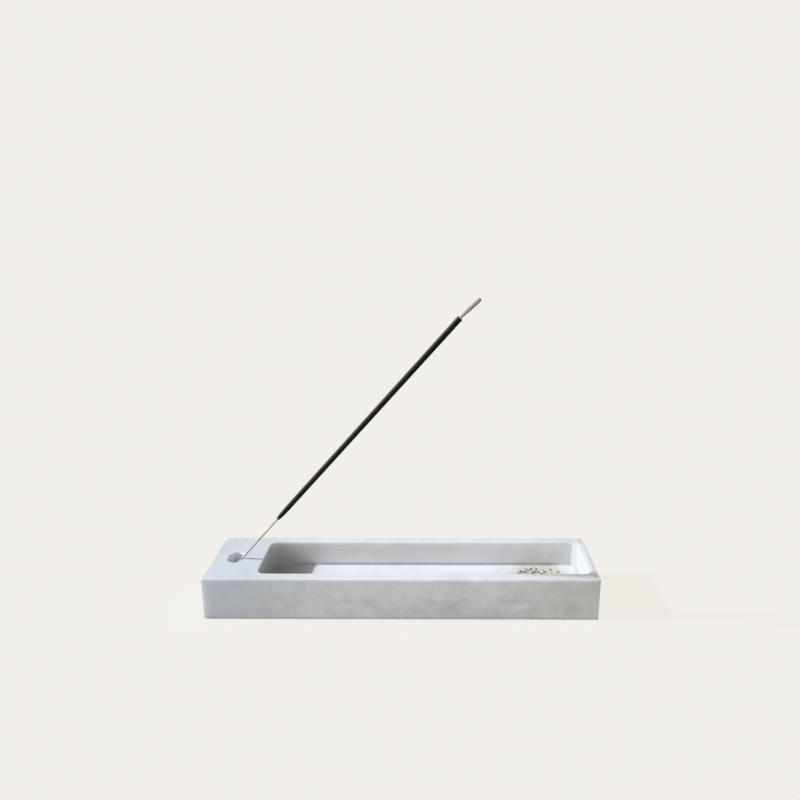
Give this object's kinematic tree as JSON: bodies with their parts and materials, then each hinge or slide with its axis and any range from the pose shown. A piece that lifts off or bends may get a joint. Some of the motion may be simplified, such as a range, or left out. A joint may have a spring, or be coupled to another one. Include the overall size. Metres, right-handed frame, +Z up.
{
  "type": "incense stick holder",
  "caption": "Low marble block with a long milled ash tray and a round drilled socket that holds a leaning incense stick over it.",
  "frame": {"origin": "centre of the block's footprint, on the surface that its felt pads stand on", "axes": "+X along the block, from the socket's end to the far end of the tray; +Y from the front to the back; +Z up"},
  "size_m": [0.22, 0.0543, 0.1848],
  "materials": {
    "marble": "honed, softly clouded white and grey marble",
    "felt": "pressed wool felt",
    "bamboo": "bare split bamboo",
    "incense_paste": "matt black charcoal paste",
    "ash": "powdery grey-brown ash",
    "char": "charred brown crumbs",
    "pale_ash": "cream ash flakes"
  },
  "bodies": {
    "holder": {"marble_tray": "marble", "felt_pad_front_left": "felt", "felt_pad_front_right": "felt", "felt_pad_back_left": "felt", "felt_pad_back_right": "felt", "char_crumbs": "char", "ash_crumbs": "ash", "pale_flakes": "pale_ash"},
    "stick": {"bamboo_core": "bamboo", "incense_coat": "incense_paste", "ash_tip": "ash"}
  },
  "joints": [
    {"name": "stick_pull", "type": "slide", "parent": "holder", "child": "stick", "axis": [0.634, -0.1581, 0.757], "range_m": [0, 0.06]}
  ]
}
